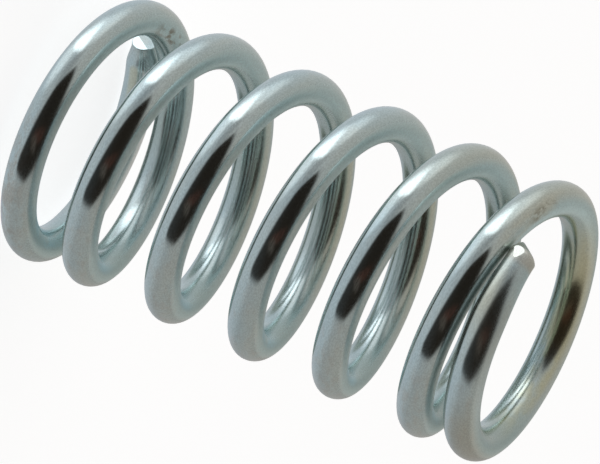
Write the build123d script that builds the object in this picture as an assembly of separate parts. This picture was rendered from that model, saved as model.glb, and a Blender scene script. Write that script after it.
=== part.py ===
from build123d import *
from math import ceil, cos, pi, sin, sqrt
import os

# A cylindrical compression spring: one length of round wire, wound left-hand,
# with both ends closed against the coil beside them and cut off, not ground.
# It stands on its lower end, with its axis on +Z. The coiled wire begins over +X.

# Driving dimensions, in millimetres and in turns of the coil.
wire_diameter = 1.65
outer_diameter = 13.3
free_length = 25.6
total_turns = 6.68

# How each end closes. The lead is small over the closed turns, then grows
# smoothly to the working pitch over the opening turns. The gap is what is left
# between the last of the coiled wire and the coil beside it.
lower_closed_turns = 0.17
lower_opening_turns = 1.2
lower_tip_gap = 0.09
upper_closed_turns = 0.72
upper_opening_turns = 0.17
upper_tip_gap = 0.015

# The cut ends. Beyond the coil the wire runs straight on and is drawn in by the
# shear. Its face is flat in the middle and slopes back to a rolled rim: the
# lower one is nearly square, and the upper one is a blunt point.
lower_tip_length = 0.8
lower_tip_diameter = 1.5
lower_flat_diameter = 0.9
lower_point = 0.06
lower_rim_radius = 0.08
upper_tip_length = 1.1
upper_tip_diameter = 1.42
upper_flat_diameter = 0.24
upper_point = 0.5
upper_rim_radius = 0.2

# The centre line is laid out in equal spans of two tangent arcs each.
spans_per_turn = 6

wire_radius = wire_diameter / 2
coil_radius = (outer_diameter - wire_diameter) / 2
centre_line_height = free_length - wire_diameter


def open_share(turns, closed, opening):
    """How far the lead has opened, from 0 to 1, this many turns in from a tip."""
    share = min(max((turns - closed) / opening, 0), 1)
    return 3 * share**2 - 2 * share**3


def opened_turns(turns, closed, opening):
    """The sum of that share over the turns in from the tip."""
    share = min(max((turns - closed) / opening, 0), 1)
    past = max(turns - closed - opening, 0)
    return opening * (share**3 - share**4 / 2) + past


def dead_turns(closed, opening):
    """Turns at one end that add no working pitch to the coil."""
    return (closed + opening / 2) / (1 - opened_turns(1, closed, opening))


def working_pitch(lower_rise, upper_rise):
    """Pitch of the open coils, with the ends this far along the axis from their neighbours."""
    lower_dead = dead_turns(lower_closed_turns, lower_opening_turns)
    upper_dead = dead_turns(upper_closed_turns, upper_opening_turns)
    open_height = centre_line_height - lower_rise * lower_dead - upper_rise * upper_dead
    return open_height / (total_turns - lower_dead - upper_dead)


def lean(pitch):
    """How much longer a turn of the sloping wire is than a level one."""
    return sqrt(1 + (pitch / (2 * pi * coil_radius)) ** 2)


# One turn in from an end the wire has risen by its own diameter and the gap,
# both measured square to the sloping coil.
lower_level = wire_diameter + lower_tip_gap
upper_level = wire_diameter + upper_tip_gap
slope = lean(working_pitch(lower_level, upper_level))
pitch = working_pitch(lower_level * slope, upper_level * slope)


def closing_lead(closed, opening, first_rise):
    """Lead of the closed turns, for this rise over the first turn from the end."""
    opened = opened_turns(1, closed, opening)
    return (first_rise - pitch * opened) / (1 - opened)


# Each end: its closed turns, its opening turns and its closing lead.
lower_end = (lower_closed_turns, lower_opening_turns)
lower_end += (closing_lead(*lower_end, lower_level * slope),)
upper_end = (upper_closed_turns, upper_opening_turns)
upper_end += (closing_lead(*upper_end, upper_level * slope),)


def rise(turns, end):
    """Height gained along the axis, this many turns in from an end."""
    closed, opening, lead = end
    return lead * turns + (pitch - lead) * opened_turns(turns, closed, opening)


def lead_at(turns):
    """Lead of the wire, in millimetres a turn, this many turns from the lower end."""
    end = lower_end
    if turns > total_turns / 2:
        turns = total_turns - turns
        end = upper_end
    closed, opening, lead = end
    return lead + (pitch - lead) * open_share(turns, closed, opening)


def height_at(turns):
    """Height of the wire's centre line, this many turns from the lower end."""
    if turns <= total_turns / 2:
        return wire_radius + rise(turns, lower_end)
    return wire_radius + centre_line_height - rise(total_turns - turns, upper_end)


def centre_point(turns):
    """A point of the centre line. Left-hand: it climbs clockwise, seen from above."""
    angle = -2 * pi * turns
    return Vector(coil_radius * cos(angle), coil_radius * sin(angle), height_at(turns))


def direction(turns):
    """The way the wire runs at a point, towards the upper tip."""
    angle = -2 * pi * turns
    around = 2 * pi * coil_radius
    return Vector(around * sin(angle), -around * cos(angle), lead_at(turns)).normalized()


def arc_pair(start, finish):
    """Two tangent arcs that carry the centre line from one station to the next."""
    first, last = centre_point(start), centre_point(finish)
    leaving, arriving = direction(start), direction(finish)
    chord = last - first
    along = chord.dot(leaving + arriving)
    turned = 2 * (1 - leaving.dot(arriving))
    reach = (sqrt(along**2 + turned * chord.dot(chord)) - along) / turned
    middle = (first + last + (leaving - arriving) * reach) / 2
    return [
        TangentArc(first, middle, tangent=leaving),
        TangentArc(middle, last, tangent=-arriving, tangent_from_first=False),
    ]


def centre_line():
    """The wire's whole centre line, from the lower tip to the upper one."""
    spans = ceil(total_turns * spans_per_turn)
    stations = [total_turns * index / spans for index in range(spans + 1)]
    arcs = []
    for start, finish in zip(stations, stations[1:]):
        arcs += arc_pair(start, finish)
    return Wire(arcs)


def cut_end(start, outward, length, diameter, flat_diameter, point, rim_radius):
    """A cut wire end: straight and drawn in, with a rolled rim and a sloping face."""
    top = length + point
    corners = [
        (0, 0),
        (wire_radius, 0),
        (diameter / 2, length),
        (flat_diameter / 2, top),
        (0, top),
    ]
    with BuildSketch(Plane.XZ) as profile:
        with BuildLine():
            Polyline(corners, close=True)
        make_face()
        fillet(profile.vertices().sort_by_distance(corners[2])[0], rim_radius)
    return Plane(origin=start, z_dir=outward) * revolve(profile.sketch, Axis.Z)


def spring_wire():
    """The whole spring: the coiled wire with a cut end beyond each of its ends."""
    lower_start, upper_start = centre_point(0), centre_point(total_turns)
    first_section = Plane(origin=lower_start, x_dir=(1, 0, 0), z_dir=direction(0))
    coil = sweep(first_section * Circle(wire_radius), path=centre_line())
    coil += cut_end(
        lower_start, -direction(0), lower_tip_length, lower_tip_diameter,
        lower_flat_diameter, lower_point, lower_rim_radius,
    )
    coil += cut_end(
        upper_start, direction(total_turns), upper_tip_length, upper_tip_diameter,
        upper_flat_diameter, upper_point, upper_rim_radius,
    )
    return coil.solid()


os.makedirs("parts", exist_ok=True)
export_step(spring_wire(), "parts/spring_wire.step")
wire_length = centre_line().length + lower_tip_length + lower_point + upper_tip_length + upper_point
print(f"pitch {pitch:.3f} mm, wire length {wire_length:.1f} mm")
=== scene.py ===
import math

import bpy
from mathutils import Matrix, Vector


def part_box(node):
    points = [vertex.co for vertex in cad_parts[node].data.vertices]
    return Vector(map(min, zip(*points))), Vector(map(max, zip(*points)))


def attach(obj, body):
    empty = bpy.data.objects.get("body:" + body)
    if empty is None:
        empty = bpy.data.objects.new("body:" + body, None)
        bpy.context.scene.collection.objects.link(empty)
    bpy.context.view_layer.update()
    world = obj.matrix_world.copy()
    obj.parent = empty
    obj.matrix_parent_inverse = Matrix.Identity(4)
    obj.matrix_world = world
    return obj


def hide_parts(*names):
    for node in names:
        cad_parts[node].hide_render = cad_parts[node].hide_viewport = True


# A compression spring in bright zinc-plated wire, standing on its lower end.
# Lengths are in metres, and the coil's axis is +Z.

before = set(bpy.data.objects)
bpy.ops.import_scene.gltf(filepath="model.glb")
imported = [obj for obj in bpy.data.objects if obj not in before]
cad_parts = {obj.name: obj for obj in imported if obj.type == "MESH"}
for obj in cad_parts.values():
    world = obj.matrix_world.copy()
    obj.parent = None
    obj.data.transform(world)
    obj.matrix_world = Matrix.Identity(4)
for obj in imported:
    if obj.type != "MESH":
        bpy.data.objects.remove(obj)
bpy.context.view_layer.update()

MM = 0.001

# The wire and how it is coiled.
LOW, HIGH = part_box("spring_wire")
WIRE_RADIUS = 0.825 * MM
COIL_RADIUS = 6.65 * MM - WIRE_RADIUS
FREE_LENGTH = 25.6 * MM
TOTAL_TURNS = 6.68
LOWER_CLOSED, LOWER_OPENING, LOWER_GAP = 0.17, 1.2, 0.09 * MM
UPPER_CLOSED, UPPER_OPENING, UPPER_GAP = 0.72, 0.17, 0.015 * MM
CENTRE_LINE_HEIGHT = FREE_LENGTH - 2 * WIRE_RADIUS

# The cut ends. Each has the length drawn in, the radius at the rim, the radius of the flat, the height
# of the point, the rim's rounding, and how far the point leans up the coil's axis.
LOWER_TIP = (1.4 * MM, 0.55 * MM, 0.44 * MM, 0.01 * MM, 0.05 * MM, 0)
UPPER_TIP = (3.6 * MM, 0.67 * MM, 0.1 * MM, 0.6 * MM, 0.36 * MM, -0.36 * MM)

# The second cut that the shear leaves on each end: the way it faces round the wire, how far from the
# wire's middle it starts, and its tilt from square to the wire.
LOWER_SECOND_CUT = (math.radians(33), -0.06 * MM, math.radians(17))
UPPER_SECOND_CUT = (math.radians(-8), 0.6 * MM, math.radians(81))

# How far the wire runs on at each end, past the turns that are counted.
LOWER_END = 0.66 * MM
UPPER_END = 1.78 * MM

# How finely the wire is divided.
SIDES = 48
RINGS_PER_TURN = 96
PATH_POINTS_PER_TURN = 180
NARROWING_RINGS = 10
ROUNDING_RINGS = 10
FACE_RINGS = 4

# Points nearer than this count as touching.
TOUCHING = 1e-7


# ---------------------------------------------------------------- the coil

def opened_turns(turns, closed, opening):
    """Turns of full pitch, this many turns in from an end: the lead opens smoothly from 0 to 1."""
    share = min(max((turns - closed) / opening, 0), 1)
    past = max(turns - closed - opening, 0)
    return opening * (share**3 - share**4 / 2) + past


def dead_turns(closed, opening):
    """Turns at one end that add no working pitch."""
    return (closed + opening / 2) / (1 - opened_turns(1, closed, opening))


def working_pitch(lower_rise, upper_rise):
    """Pitch of the open coils, with the ends this far from their neighbours."""
    lower_dead = dead_turns(LOWER_CLOSED, LOWER_OPENING)
    upper_dead = dead_turns(UPPER_CLOSED, UPPER_OPENING)
    open_height = CENTRE_LINE_HEIGHT - lower_rise * lower_dead - upper_rise * upper_dead
    return open_height / (TOTAL_TURNS - lower_dead - upper_dead)


LOWER_LEVEL = 2 * WIRE_RADIUS + LOWER_GAP
UPPER_LEVEL = 2 * WIRE_RADIUS + UPPER_GAP
SLOPE = math.sqrt(1 + (working_pitch(LOWER_LEVEL, UPPER_LEVEL) / (math.tau * COIL_RADIUS)) ** 2)
PITCH = working_pitch(LOWER_LEVEL * SLOPE, UPPER_LEVEL * SLOPE)


def rise(turns, closed, opening, first_rise):
    """Height gained along the axis, this many turns in from an end."""
    opened = opened_turns(1, closed, opening)
    lead = (first_rise - PITCH * opened) / (1 - opened)
    return lead * turns + (PITCH - lead) * opened_turns(turns, closed, opening)


def centre_point(turns):
    """A point of the wire's centre line, this many turns from the lower end."""
    if turns <= TOTAL_TURNS / 2:
        height = rise(turns, LOWER_CLOSED, LOWER_OPENING, LOWER_LEVEL * SLOPE)
    else:
        left = TOTAL_TURNS - turns
        height = CENTRE_LINE_HEIGHT - rise(left, UPPER_CLOSED, UPPER_OPENING, UPPER_LEVEL * SLOPE)
    angle = -math.tau * turns
    across = COIL_RADIUS * math.cos(angle), COIL_RADIUS * math.sin(angle)
    return Vector((*across, WIRE_RADIUS + height))


def coil_path():
    """The centre line as an open curve from cut end to cut end, and its length."""
    count = round(TOTAL_TURNS * PATH_POINTS_PER_TURN)
    first = -LOWER_END / (math.tau * COIL_RADIUS)
    last = TOTAL_TURNS + UPPER_END / (math.tau * COIL_RADIUS)
    points = [centre_point(first + (last - first) * step / count) for step in range(count + 1)]
    data = bpy.data.curves.new("coil_path", "CURVE")
    data.dimensions = "3D"
    data.twist_mode = "Z_UP"
    spline = data.splines.new("POLY")
    spline.points.add(count)
    for slot, point in zip(spline.points, points):
        slot.co = (*point, 1)
    path = bpy.data.objects.new("coil_path", data)
    bpy.context.collection.objects.link(path)
    return path, sum((b - a).length for a, b in zip(points, points[1:]))


# ---------------------------------------------------------------- the wire

def only(piece):
    """Makes this the one selected and active object."""
    bpy.ops.object.select_all(action="DESELECT")
    piece.select_set(True)
    bpy.context.view_layer.objects.active = piece


def apply_modifier(piece, kind, **settings):
    """Adds one modifier, sets it and applies it."""
    modifier = piece.modifiers.new(kind.lower(), kind)
    for name, value in settings.items():
        setattr(modifier, name, value)
    only(piece)
    bpy.ops.object.modifier_apply(modifier=modifier.name)


def cut_profile(length, rim, flat, point, rounding, lean):
    """(radius, height, sideways) of each ring of a cut end, from the full wire to the flat."""
    rings = []
    for step in range(1, NARROWING_RINGS):
        share = step / NARROWING_RINGS
        narrowed = 3 * share**2 - 2 * share**3
        rings.append((WIRE_RADIUS + (rim - WIRE_RADIUS) * narrowed, length * share))
    side = Vector((rim - rings[-1][0], length - rings[-1][1])).normalized()
    face = Vector((flat - rim, point)).normalized()
    corner = Vector((rim, length))
    turn = side.angle(face)
    reach = rounding * math.tan(turn / 2)
    start = corner - side * reach
    inward = Vector((-side.y, side.x))
    centre = start + inward * rounding
    for step in range(ROUNDING_RINGS + 1):
        angle = turn * step / ROUNDING_RINGS
        along = side * rounding * math.sin(angle)
        rings.append(tuple(centre - inward * rounding * math.cos(angle) + along))
    finish = Vector(rings[-1])
    for step in range(1, FACE_RINGS + 1):
        rings.append(tuple(finish.lerp(Vector((flat, length + point)), step / FACE_RINGS)))
    rings.append((flat * 0.5, length + point))
    slant = lean / (length + point - start.y)
    return [(radius, height, slant * max(height - start.y, 0)) for radius, height in rings]


def dress_end(piece, end, outward, profile):
    """Extrudes the wire's open end ring by ring into its cut face."""
    only(piece)
    bpy.ops.object.mode_set(mode="EDIT")
    bpy.ops.mesh.select_mode(type="VERT")
    bpy.ops.mesh.select_all(action="DESELECT")
    bpy.ops.object.mode_set(mode="OBJECT")
    for vertex in piece.data.vertices:
        vertex.select = abs(vertex.co.z - end) < TOUCHING
    bpy.ops.object.mode_set(mode="EDIT")
    radius, height, sideways = WIRE_RADIUS, 0, 0
    for next_radius, next_height, next_sideways in profile:
        step = (0, next_sideways - sideways, outward * (next_height - height))
        bpy.ops.mesh.extrude_region_move(TRANSFORM_OT_translate={"value": step})
        scale = next_radius / radius
        middle = (0, next_sideways, end + outward * next_height)
        bpy.ops.transform.resize(value=(scale, scale, 1), center_override=middle)
        radius, height, sideways = next_radius, next_height, next_sideways
    bpy.ops.mesh.extrude_region_move()
    bpy.ops.mesh.merge(type="CENTER")
    bpy.ops.object.mode_set(mode="OBJECT")


def cut_again(piece, end, outward, around, beyond, angle):
    """Cuts an end a second time, along a plane tilted by this angle from square to the wire."""
    towards = Vector((math.cos(around), math.sin(around), 0))
    facing = Vector((0, 0, outward))
    only(piece)
    bpy.ops.object.mode_set(mode="EDIT")
    bpy.ops.mesh.select_all(action="SELECT")
    bpy.ops.mesh.bisect(
        plane_co=towards * beyond + facing * end,
        plane_no=towards * math.sin(angle) + facing * math.cos(angle),
        use_fill=True, clear_outer=True, threshold=TOUCHING,
    )
    bpy.ops.mesh.mark_sharp()
    bpy.ops.object.mode_set(mode="OBJECT")


def straight_wire(length):
    """The wire before it is coiled, along +Z, with both its ends cut."""
    lower_reach = LOWER_TIP[0] + LOWER_TIP[3]
    upper_reach = UPPER_TIP[0] + UPPER_TIP[3]
    whole = length - lower_reach - upper_reach
    bpy.ops.object.select_all(action="DESELECT")
    bpy.ops.mesh.primitive_circle_add(vertices=SIDES, radius=WIRE_RADIUS, fill_type="NOTHING")
    wire = bpy.context.object
    wire.name = "coiled_wire"
    rings = round(TOTAL_TURNS * RINGS_PER_TURN)
    apply_modifier(
        wire, "SCREW", angle=0, screw_offset=whole, steps=rings, render_steps=rings,
        use_merge_vertices=False, use_smooth_shade=True,
    )
    dress_end(wire, 0, -1, cut_profile(*LOWER_TIP))
    dress_end(wire, whole, 1, cut_profile(*UPPER_TIP))
    cut_again(wire, lower_reach, -1, *LOWER_SECOND_CUT)
    cut_again(wire, whole + UPPER_TIP[0], 1, *UPPER_SECOND_CUT)
    bpy.ops.object.mode_set(mode="EDIT")
    bpy.ops.mesh.select_all(action="SELECT")
    bpy.ops.transform.translate(value=(0, 0, lower_reach))
    bpy.ops.object.mode_set(mode="OBJECT")
    return wire


def remember_place(wire):
    """Keeps each point's place on the straight wire, in millimetres, for its finish to follow."""
    place = wire.data.attributes.new("wire_place", "FLOAT_VECTOR", "POINT")
    for slot, vertex in zip(place.data, wire.data.vertices):
        slot.vector = (vertex.co - Vector((0, 0, LOWER_END))) / MM


def coiled_wire():
    """The whole spring, coiled from one length of straight wire, and its counted length in mm."""
    path, length = coil_path()
    wire = straight_wire(length)
    remember_place(wire)
    apply_modifier(wire, "CURVE", object=path, deform_axis="POS_Z")
    bpy.data.objects.remove(path)
    only(wire)
    bpy.ops.object.mode_set(mode="EDIT")
    bpy.ops.mesh.select_all(action="SELECT")
    bpy.ops.mesh.normals_make_consistent(inside=False)
    bpy.ops.object.mode_set(mode="OBJECT")
    bpy.ops.object.shade_smooth(keep_sharp_edges=True)
    return wire, (length - LOWER_END - UPPER_END) / MM


# ---------------------------------------------------------------- shader maths

class Value:
    """A number in a node tree. Arithmetic on it adds Math nodes."""

    def __init__(self, graph, socket):
        self.graph = graph
        self.socket = socket

    def math(self, operation, *others):
        inputs = {index: value for index, value in enumerate((self, *others))}
        return self.graph.add("ShaderNodeMath", {"operation": operation}, inputs)

    def __add__(self, other):
        return self.math("ADD", other)

    __radd__ = __add__

    def __sub__(self, other):
        return self.math("SUBTRACT", other)

    def __rsub__(self, other):
        return self.graph.add("ShaderNodeMath", {"operation": "SUBTRACT"}, {0: other, 1: self})

    def __mul__(self, other):
        return self.math("MULTIPLY", other)

    __rmul__ = __mul__

    def __truediv__(self, other):
        return self.math("DIVIDE", other)

    def __pow__(self, other):
        return self.math("POWER", other)

    def step(self, low, high):
        """A smooth step, from 0 at low to 1 at high."""
        settings = {"interpolation_type": "SMOOTHSTEP"}
        return self.graph.add("ShaderNodeMapRange", settings, {0: self, 1: low, 2: high})


class Graph:
    """The node tree of a material or of the world."""

    def __init__(self, owner):
        owner.use_nodes = True
        self.tree = owner.node_tree
        self.tree.nodes.clear()

    def add(self, kind, settings=None, inputs=None, output=0):
        """Any node: its type, its settings, its inputs' values or links, and which output to give."""
        node = self.tree.nodes.new(kind)
        for name, value in (settings or {}).items():
            setattr(node, name, value)
        for name, value in (inputs or {}).items():
            if isinstance(value, Value):
                self.tree.links.new(value.socket, node.inputs[name])
            else:
                node.inputs[name].default_value = value
        return Value(self, node.outputs[output]) if node.outputs else node

    def mix(self, factor, first, second):
        """Two colours, mixed by a number from 0 to 1."""
        inputs = {"Factor": factor, 6: first, 7: second}
        return self.add("ShaderNodeMix", {"data_type": "RGBA"}, inputs, 2)

    def dot(self, vector, direction):
        """How far a vector points along a fixed direction."""
        inputs = {0: vector, 1: tuple(direction)}
        return self.add("ShaderNodeVectorMath", {"operation": "DOT_PRODUCT"}, inputs, 1)

    def noise(self, place, cells, detail, roughness):
        """Noise over a place, in cells of these sizes along x, y and z."""
        scale = tuple(1 / size for size in cells)
        scaled = self.add("ShaderNodeMapping", {}, {"Vector": place, "Scale": scale})
        inputs = {"Vector": scaled, "Scale": 1, "Detail": detail, "Roughness": roughness}
        return self.add("ShaderNodeTexNoise", {}, inputs)


def rgb(red, green, blue):
    """An opaque colour."""
    return (red, green, blue, 1)


# ---------------------------------------------------------------- finishes

def zinc_plate(length):
    """Bright zinc plate over drawn wire, with a few stains, and tints that come back on each turn and carry
    painted light and shade as well.
    """
    material = bpy.data.materials.new("bright_zinc_plate")
    graph = Graph(material)
    place = graph.add("ShaderNodeAttribute", {"attribute_name": "wire_place"}, output=1)
    outward = graph.dot(place, (MM / WIRE_RADIUS, 0, 0))
    upward = graph.dot(place, (0, MM / WIRE_RADIUS, 0))
    turns = graph.dot(place, (0, 0, TOTAL_TURNS / length))
    cut = turns.step(-0.0155, -0.0175) + turns.step(6.703, 6.71)
    side = outward.step(0.85, 0.2) * (1 - cut)
    inner = outward.step(-0.2, -0.8)
    lines = graph.noise(place, (0.22, 0.2, 7), 1, 0.5)
    grain = graph.noise(place, (0.07, 0.07, 0.1), 2, 0.5)
    cloud = graph.noise(place, (1.1, 1.1, 3), 3, 0.6)
    blotch = graph.noise(place, (0.45, 0.45, 0.8), 3, 0.6)

    def facing(around, reach):
        """1 where the wire faces this way round its section, in turns from outward through up."""
        angle = math.tau * around
        towards = outward * math.cos(angle) + upward * math.sin(angle)
        return towards.step(math.cos(math.tau * reach), 1)

    def once(middle, reach):
        """1 at one place along the wire, in turns, 0 past its reach."""
        return 1 - ((turns - middle) / reach).math("ABSOLUTE").step(0.2, 1)

    def every(phase, reach):
        """The same at one place of every turn."""
        share = (turns - (phase - 0.5)).math("FRACT") - 0.5
        return 1 - (share / reach).math("ABSOLUTE").step(0.2, 1)

    zinc = graph.mix(cloud.step(0.35, 0.65), rgb(0.582, 0.689, 0.689), rgb(0.61, 0.684, 0.655))
    # Tints, stains, painted shade and painted highlights: how much of each there is, by its place along the
    # wire and round it, and its colour.
    tints_stains_and_painted_light = (
        # The entries that come back on every turn are partly the plate's own tints and partly painted light
        # and shade.
        (every(0.85, 0.3) * facing(0.33, 0.25) * 0.8, rgb(0.58, 0.75, 0.76)),
        # Painted shade on the inner flank of every turn.
        (every(0.37, 0.17) * facing(0.33, 0.25) * 0.9, rgb(0.45, 0.59, 0.585)),
        (every(0.42, 0.1) * facing(0.36, 0.12) * cloud.step(0.3, 0.6), rgb(0.42, 0.655, 0.73)),
        # Painted highlight on the inner flank of every turn from the second on.
        (every(0.24, 0.07) * facing(0.5, 0.08) * turns.step(1, 1.8) * 0.5, rgb(0.74, 0.84, 0.83)),
        (every(0.08, 0.18) * facing(0.34, 0.13) * turns.step(0.8, 3), rgb(0.655, 0.678, 0.565)),
        # Painted shade on the inner side of every turn after the first.
        (every(0.05, 0.12) * facing(0.54, 0.12) * turns.step(0.5, 1) * 0.8, rgb(0.46, 0.53, 0.48)),
        (once(6.13, 0.26) * facing(0.44, 0.15) * cloud.step(0.25, 0.55) * 0.9, rgb(0.66, 0.63, 0.4)),
        (turns.step(3.9, 5.2) * every(0.89, 0.25) * facing(0.03, 0.2) * 0.8, rgb(0.588, 0.61, 0.52)),
        (every(0.45, 0.16) * facing(0.0, 0.25) * blotch.step(0.45, 0.7) * 0.6, rgb(0.565, 0.576, 0.531)),
        (every(0.62, 0.13) * facing(0.21, 0.08) * 0.5, rgb(0.53, 0.56, 0.52)),
        (once(0.53, 0.14) * facing(0.95, 0.17) * blotch.step(0.35, 0.65), rgb(0.52, 0.52, 0.47)),
        # Painted shade on the last full turn, where the end strand shades it.
        (once(5.33, 0.14) * facing(0.37, 0.2) * 0.8, rgb(0.36, 0.47, 0.45)),
        (once(5.62, 0.14) * facing(0.22, 0.09) * 0.7, rgb(0.36, 0.41, 0.39)),
        # Painted shade, darker on the end strand.
        (once(6.42, 0.14) * facing(0.42, 0.22) * 0.8, rgb(0.497, 0.565, 0.53)),
        (once(6.44, 0.12) * facing(0.08, 0.18) * 0.7, rgb(0.51, 0.5, 0.42)),
        # Painted highlight, cream, along the end strand near its tip.
        (once(6.67, 0.09) * facing(0.95, 0.13) * 0.7, rgb(0.78, 0.74, 0.56)),
        (turns.step(6.69, 6.7) * 0.8, rgb(0.62, 0.6, 0.52)),
        (once(0.9, 0.06) * facing(0.31, 0.09) * blotch.step(0.45, 0.6), rgb(0.33, 0.33, 0.28)),
        (once(5.77, 0.09) * facing(0.16, 0.11) * cloud.step(0.35, 0.6) * 0.6, rgb(0.63, 0.62, 0.5)),
        (once(5.79, 0.035) * facing(0.185, 0.07) * blotch.step(0.48, 0.58), rgb(0.38, 0.38, 0.31)),
        # Painted highlight, near white, on the wire just past the lower end.
        (once(0.1, 0.16) * facing(0.29, 0.2), rgb(0.9, 0.94, 0.92)),
        (once(0.025, 0.07) * facing(0.51, 0.07) * 0.6, rgb(0.7, 0.68, 0.48)),
    )
    for share, colour in tints_stains_and_painted_light:
        zinc = graph.mix(share, zinc, colour)
    mottle = 0.95 + 0.16 * grain.step(0.3, 0.7)
    zinc = graph.add("ShaderNodeVectorMath", {"operation": "SCALE"}, {0: zinc, "Scale": mottle})
    height = lines * 0.65 + grain * 0.2
    bump = graph.add("ShaderNodeBump", {}, {"Strength": 0.07, "Distance": 0.01 * MM, "Height": height})
    inputs = {
        "Base Color": zinc,
        "Metallic": 1.0,
        "Roughness": 0.1 + 0.06 * grain + 0.3 * side - 0.21 * inner + 0.12 * turns.step(6.5, 6.66),
        "Normal": bump,
    }
    surface = graph.add("ShaderNodeBsdfPrincipled", {}, inputs)
    graph.add("ShaderNodeOutputMaterial", {}, {"Surface": surface})
    return material


# ---------------------------------------------------------------- studio

# Where the camera stands, its roll and lens, and how far beside the spring's middle it aims.
CAMERA_AZIMUTH = math.radians(131.07)
CAMERA_ELEVATION = math.radians(19.88)
CAMERA_ROLL = math.radians(-114.05)
CAMERA_DISTANCE = 305.2 * MM
CAMERA_LENS = 403.0
AIM = (0.05 * MM, 0.35 * MM)

# The floor's size, its drop below the wire, and its glow, which only the camera sees.
FLOOR_SIZE = 6
FLOOR_DROP = 0.01 * MM
FLOOR_GLOW = 0.82


def place_camera():
    """A long lens on the standing spring, rolled over so that the coil lies across the frame."""
    back = Vector((
        math.cos(CAMERA_AZIMUTH) * math.cos(CAMERA_ELEVATION),
        math.sin(CAMERA_AZIMUTH) * math.cos(CAMERA_ELEVATION),
        math.sin(CAMERA_ELEVATION),
    ))
    level_up = (Vector((0, 0, 1)) - back * back.z).normalized()
    level_right = level_up.cross(back)
    up = level_up * math.cos(CAMERA_ROLL) + level_right * math.sin(CAMERA_ROLL)
    right = up.cross(back)
    middle = Vector((0, 0, (LOW[2] + HIGH[2]) / 2))
    aim = middle - right * AIM[0] - up * AIM[1]
    data = bpy.data.cameras.new("camera")
    data.lens = CAMERA_LENS
    data.clip_start = 10 * MM
    data.clip_end = 20
    camera = bpy.data.objects.new("camera", data)
    turn = Matrix((right, up, back)).transposed().to_4x4()
    camera.matrix_world = Matrix.Translation(aim + back * CAMERA_DISTANCE) @ turn
    bpy.context.collection.objects.link(camera)
    bpy.context.scene.camera = camera
    return right, up, back


# Keeps the direction straight behind the ball from being divided by 0.
HAIR = 0.0001

# The light tent, as the main camera would see it in a polished ball in the spring's place:
# x to the right of the ball's middle, y up, and 1 at its edge. That camera is rolled over, so up in
# the ball isn't up for the standing spring. Each outline runs clockwise, and each of its corners has
# the softness of the edge that starts there. The tent stays where it is when the camera moves.
OPENING = (
    (-0.55, -0.18, 0.07), (-0.14, 0.24, 0.04), (0.02, 0.26, 0.03), (0.23, 0.23, 0.03), (0.35, 0.1, 0.04),
    (0.52, -0.3, 0.05), (0.52, -0.45, 0.04), (0.3, -0.51, 0.03), (0, -0.52, 0.03), (-0.24, -0.44, 0.03),
    (-0.48, -0.3, 0.03),
)
LAMP = ((-0.4, 0.69, 0.12), (-0.24, 0.8, 0.1), (0.05, 0.77, 0.12), (0.12, 0.62, 0.11), (0.1, 0.45, 0.02))


def inside_of(outline, across, above):
    """1 inside a convex outline, 0 outside."""
    inside = 1.0
    for (x0, y0, softness), (x1, y1, _) in zip(outline, outline[1:] + outline[:1]):
        length = math.hypot(x1 - x0, y1 - y0)
        to_right = (y1 - y0) / length
        to_top = (x0 - x1) / length
        depth = across * to_right + above * to_top - (x0 * to_right + y0 * to_top)
        inside = depth.step(-softness, softness) * inside
    return inside


def blob(across, above, middle, along, half_length, half_width):
    """A soft oval patch of the mirror ball: 1 in its middle, and 0 outside it."""
    x = across - middle[0]
    y = above - middle[1]
    lengthwise = (x * along[0] + y * along[1]) / half_length
    crosswise = (y * along[0] - x * along[1]) / half_width
    return 1 - (lengthwise * lengthwise + crosswise * crosswise).step(0.0, 1.0)


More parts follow.
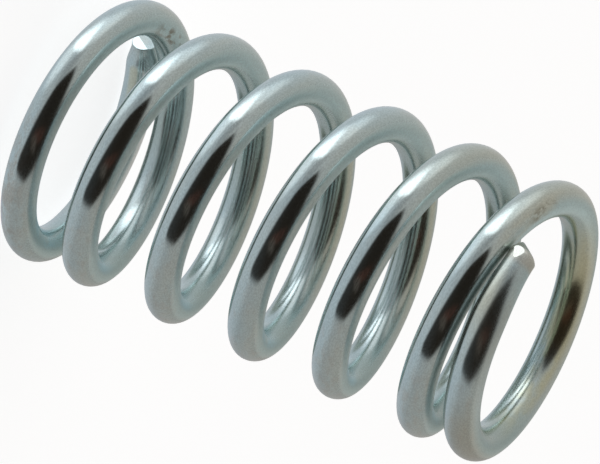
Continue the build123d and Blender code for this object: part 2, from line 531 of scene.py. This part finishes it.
def light_tent(right, up, back):
    """A pale grey tent, with a lamp and with a dark opening on the main camera's side.

    The camera sees plain white behind the spring. The metal sees the tent and not that white.
    """
    world = bpy.data.worlds.new("light_tent")
    bpy.context.scene.world = world
    graph = Graph(world)
    ray = graph.add("ShaderNodeTexCoord")
    depth = (graph.dot(ray, back) * 2 + (2 + HAIR)) ** 0.5
    across = graph.dot(ray, right) / depth
    above = graph.dot(ray, up) / depth

    wall = 0.38 + 0.055 * above.step(-0.7, 0.1) + 0.19 * above.step(0.0, 1.1)
    wall = wall + 0.1 * across.step(0.8, 1.05)
    wall = wall + 0.11 * blob(across, above, (-0.75, -0.1), (0, 1), 0.8, 0.5)
    wall = wall + 0.18 * blob(across, above, (0.72, -0.62), (1, 0), 0.35, 0.35)
    wall = wall + 0.42 * blob(across, above, (-0.42, 0.58), (0.94, 0.34), 0.33, 0.22)
    wall = wall + 0.34 * blob(across, above, (0.24, 0.62), (0.9, -0.44), 0.34, 0.23)
    wall = wall - 0.14 * blob(across, above, (0.0, 0.36), (0.95, 0.3), 0.28, 0.17)
    wall = wall + 1.2 * inside_of(LAMP, across, above)
    cool = (above * 0.4 - across * 0.6).step(-0.6, 0.5)
    white = graph.mix(cool, rgb(1.05, 1.0, 0.95), rgb(0.95, 1.01, 1.09))
    tent = graph.add("ShaderNodeVectorMath", {"operation": "SCALE"}, {0: white, "Scale": wall})

    flicker = graph.noise(ray, (0.07, 0.07, 0.07), 2, 0.6).step(0.38, 0.6)
    dark = graph.mix(across.step(0.1, -0.6), rgb(0.02, 0.016, 0.013), rgb(0.042, 0.042, 0.042))
    ember = blob(across, above, (0.06, -0.22), (0.93, -0.36), 0.4, 0.065)
    dark = graph.mix(ember * flicker, dark, rgb(0.085, 0.037, 0.029))
    gleam = blob(across, above, (-0.05, -0.24), (0.86, -0.51), 0.28, 0.055)
    dark = graph.mix(gleam * flicker, dark, rgb(0.12, 0.1, 0.088))

    studio = graph.mix(inside_of(OPENING, across, above), tent, dark)
    seen = graph.mix(graph.add("ShaderNodeLightPath"), studio, rgb(1, 1, 1))
    background = graph.add("ShaderNodeBackground", {}, {"Color": seen, "Strength": 1.0})
    graph.add("ShaderNodeOutputWorld", {}, {"Surface": background})


def floor():
    """A plain white sweep under the spring, which doesn't show in the metal."""
    bpy.ops.object.select_all(action="DESELECT")
    bpy.ops.mesh.primitive_plane_add(size=FLOOR_SIZE, location=(0, 0, LOW[2] - FLOOR_DROP))
    ground = bpy.context.object
    ground.name = "floor"
    ground.visible_glossy = False
    material = bpy.data.materials.new("white_floor")
    graph = Graph(material)
    matte = graph.add("ShaderNodeBsdfDiffuse", {}, {"Color": rgb(0.5, 0.5, 0.5)})
    path = graph.add("ShaderNodeLightPath")
    glow = graph.add("ShaderNodeEmission", {}, {"Color": rgb(1, 1, 1), "Strength": path * FLOOR_GLOW})
    both = graph.add("ShaderNodeAddShader", {}, {0: matte, 1: glow})
    graph.add("ShaderNodeOutputMaterial", {}, {"Surface": both})
    ground.data.materials.append(material)


# ---------------------------------------------------------------- the scene

wire, wire_length = coiled_wire()
wire.data.materials.append(zinc_plate(wire_length))
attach(wire, "root")
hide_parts("spring_wire")

floor()
light_tent(*place_camera())
bpy.context.scene.view_settings.view_transform = "Standard"
